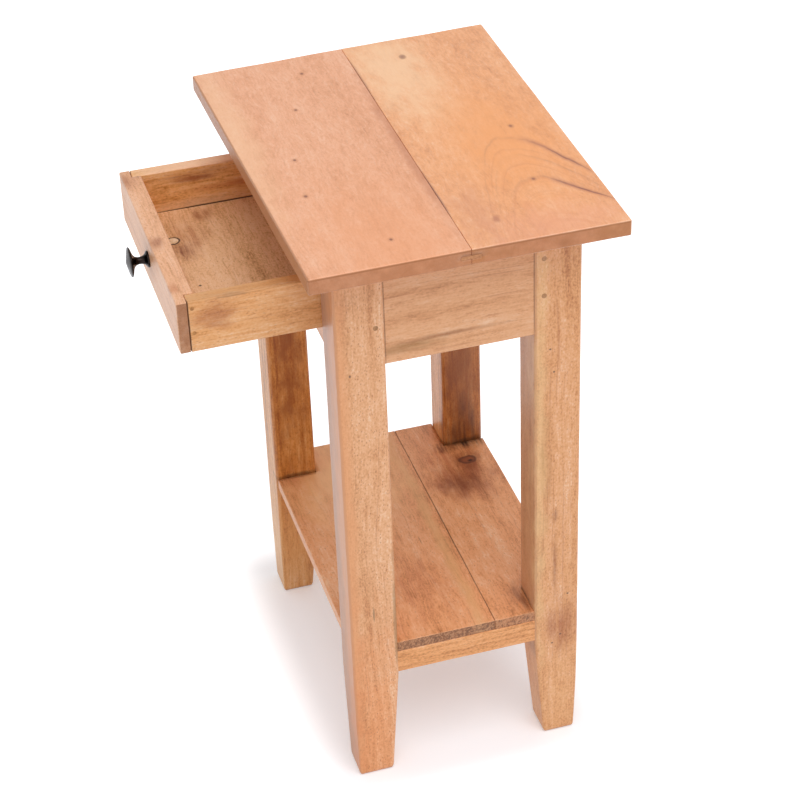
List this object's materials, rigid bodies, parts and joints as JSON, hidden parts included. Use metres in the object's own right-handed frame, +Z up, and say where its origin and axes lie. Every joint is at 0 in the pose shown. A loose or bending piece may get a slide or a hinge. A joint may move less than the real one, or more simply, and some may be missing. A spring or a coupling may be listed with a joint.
{
  "type": "telephone table",
  "caption": "Small oiled-wood telephone table: plank top on tapered, pegged legs, a low shelf, and a front drawer with a black mushroom knob that slides out.",
  "frame": {"origin": "on the floor at the centre of the rectangle that the legs stand on", "axes": "+Z up; X along the drawer front, +X to the right of someone facing the drawer; the drawer opens towards -Y"},
  "size_m": [0.35, 0.352, 0.52],
  "materials": {
    "top_wood": "oiled, pinkish orange brown, satin",
    "leg_wood": "oiled, straight-grained orange brown with dark pores, satin",
    "frame_wood": "oiled orange brown, satin",
    "shelf_wood": "oiled, darker red brown with scratches, satin",
    "drawer_wood": "oiled honey brown, satin",
    "drawer_bottom_wood": "thin brown board, matt",
    "inner_wood": "plain sawn wood, matt",
    "peg_wood": "oiled end grain, a little darker than the legs",
    "plug_wood": "pale end grain",
    "black_iron": "black, semi-gloss",
    "steel": "dull grey steel"
  },
  "bodies": {
    "table": {"top_front_plank": "top_wood", "top_back_plank": "top_wood", "leg_front_left": "leg_wood", "leg_front_right": "leg_wood", "leg_back_left": "leg_wood", "leg_back_right": "leg_wood", "side_apron_left": "frame_wood", "side_apron_right": "frame_wood", "back_apron": "frame_wood", "front_upper_rail": "frame_wood", "front_lower_rail": "frame_wood", "shelf_rail_left": "frame_wood", "shelf_rail_right": "frame_wood", "shelf_front_board": "shelf_wood", "shelf_back_board": "shelf_wood", "top_tongue": "inner_wood", "drawer_runner_left": "inner_wood", "drawer_runner_right": "inner_wood", "top_batten_left": "inner_wood", "top_batten_right": "inner_wood", "side_apron_pegs": "peg_wood", "back_apron_pegs": "peg_wood", "runner_screws": "steel", "batten_screws": "steel", "top_screws": "steel", "shelf_screws": "steel"},
    "drawer": {"drawer_front": "drawer_wood", "drawer_side_left": "drawer_wood", "drawer_side_right": "drawer_wood", "drawer_back": "drawer_wood", "drawer_bottom": "drawer_bottom_wood", "drawer_bottom_plug": "plug_wood", "drawer_knob": "black_iron", "knob_screw": "steel", "drawer_front_nails": "steel", "drawer_back_nails": "steel", "drawer_bottom_nails": "steel"}
  },
  "joints": [
    {"name": "drawer_slide", "type": "slide", "parent": "table", "child": "drawer", "axis": [0, -1, 0], "range_m": [-0.111, 0.02]}
  ]
}
